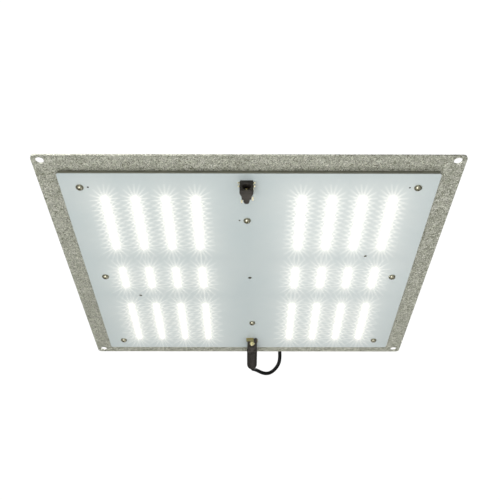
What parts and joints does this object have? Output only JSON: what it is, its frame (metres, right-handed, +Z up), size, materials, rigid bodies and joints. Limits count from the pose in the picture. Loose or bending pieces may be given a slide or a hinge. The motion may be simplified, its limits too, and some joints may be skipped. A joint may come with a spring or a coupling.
{
  "type": "led grow light",
  "caption": "Hanging LED grow light: a flat rectangular plate with a white LED board below, a driver box on top, and a short lead from the driver to a barrel jack on the board.",
  "frame": {"origin": "centre of the four hanging holes, on the plate's underside", "axes": "+Z up through the plate, along the hanging holes; +X along the plate's long edge; +Y from the output jack's edge to the input jack's edge"},
  "size_m": [0.33, 0.3341, 0.051],
  "materials": {
    "plate_paint": "sheet metal, stucco-textured warm grey powder coat",
    "thermal_pad": "matt dark grey silicone sheet",
    "board_mask": "aluminium-core circuit board with a satin white solder mask",
    "led_case": "white moulded LED package",
    "led_phosphor": "yellow phosphor fill, glowing white when lit",
    "steel_fastener": "stainless steel, domed heads with cross recess",
    "jack_plastic": "black moulded thermoplastic",
    "contact_brass": "bare stamped brass",
    "solder_tab": "tinned sheet tabs with solder",
    "plug_shell": "nickel-plated barrel",
    "plug_insulator": "black plastic sleeve",
    "boot_rubber": "black moulded grip, satin",
    "lead_jacket": "black flexible cable jacket",
    "gland_plastic": "black nylon",
    "gland_seal": "black rubber",
    "driver_anodise": "extruded aluminium, dark anodised",
    "cap_anodise": "sheet aluminium, dark anodised",
    "gasket_rubber": "black silicone",
    "inlet_plastic": "black moulded thermoplastic",
    "inlet_pin": "nickel-plated brass blades",
    "pcb": "green glass-fibre circuit board",
    "capacitor_sleeve": "aluminium cans in dark sleeves",
    "ferrite": "dark sintered ferrite",
    "winding_tape": "yellow taped winding",
    "choke_core": "green coated ferrite ring",
    "copper_wire": "enamelled copper wire",
    "film_capacitor": "yellow box capacitor",
    "fuse_case": "brown round fuse body",
    "spreader": "plain aluminium bar",
    "device_case": "black epoxy transistor packages",
    "wire_jacket": "insulated hook-up wire"
  },
  "bodies": {
    "lamp": {"back_nuts": "steel_fastener", "back_washers": "steel_fastener", "board_screws": "steel_fastener", "choke_core": "choke_core", "choke_windings": "copper_wire", "dc_lead": "lead_jacket", "dc_lead_tail": "lead_jacket", "driver_housing": "driver_anodise", "driver_pcb": "pcb", "driver_screws": "steel_fastener", "electrolytic_capacitors": "capacitor_sleeve", "end_cap_inlet": "cap_anodise", "end_cap_output": "cap_anodise", "end_cap_screws": "steel_fastener", "end_gaskets": "gasket_rubber", "film_capacitor": "film_capacitor", "fuse": "fuse_case", "gland_body": "gland_plastic", "gland_locknut": "gland_plastic", "gland_nut": "gland_plastic", "gland_seal": "gland_seal", "heat_spreader": "spreader", "inner_wires": "wire_jacket", "input_jack_centre_pin": "contact_brass", "input_jack_contact_spring": "contact_brass", "input_jack_housing": "jack_plastic", "input_jack_solder_tabs": "solder_tab", "led_board": "board_mask", "led_packages_1": "led_case", "led_packages_2": "led_case", "led_packages_3": "led_case", "led_packages_4": "led_case", "led_packages_5": "led_case", "led_packages_6": "led_case", "led_packages_7": "led_case", "led_packages_8": "led_case", "led_phosphors_1": "led_phosphor", "led_phosphors_2": "led_phosphor", "led_phosphors_3": "led_phosphor", "led_phosphors_4": "led_phosphor", "led_phosphors_5": "led_phosphor", "led_phosphors_6": "led_phosphor", "led_phosphors_7": "led_phosphor", "led_phosphors_8": "led_phosphor", "mains_inlet_body": "inlet_plastic", "mains_inlet_pins": "inlet_pin", "output_jack_centre_pin": "contact_brass", "output_jack_contact_spring": "contact_brass", "output_jack_housing": "jack_plastic", "output_jack_solder_tabs": "solder_tab", "power_devices": "device_case", "reflector_plate": "plate_paint", "thermal_pad": "thermal_pad", "transformer_core": "ferrite", "transformer_winding": "winding_tape"},
    "plug": {"plug_boot": "boot_rubber", "plug_barrel": "plug_shell", "plug_insulator": "plug_insulator", "plug_inner_contact": "contact_brass"}
  },
  "joints": [
    {"name": "plug_pull", "type": "slide", "parent": "lamp", "child": "plug", "axis": [0, 1, 0], "range_m": [0, 0.0095], "deforming": ["dc_lead"]}
  ]
}
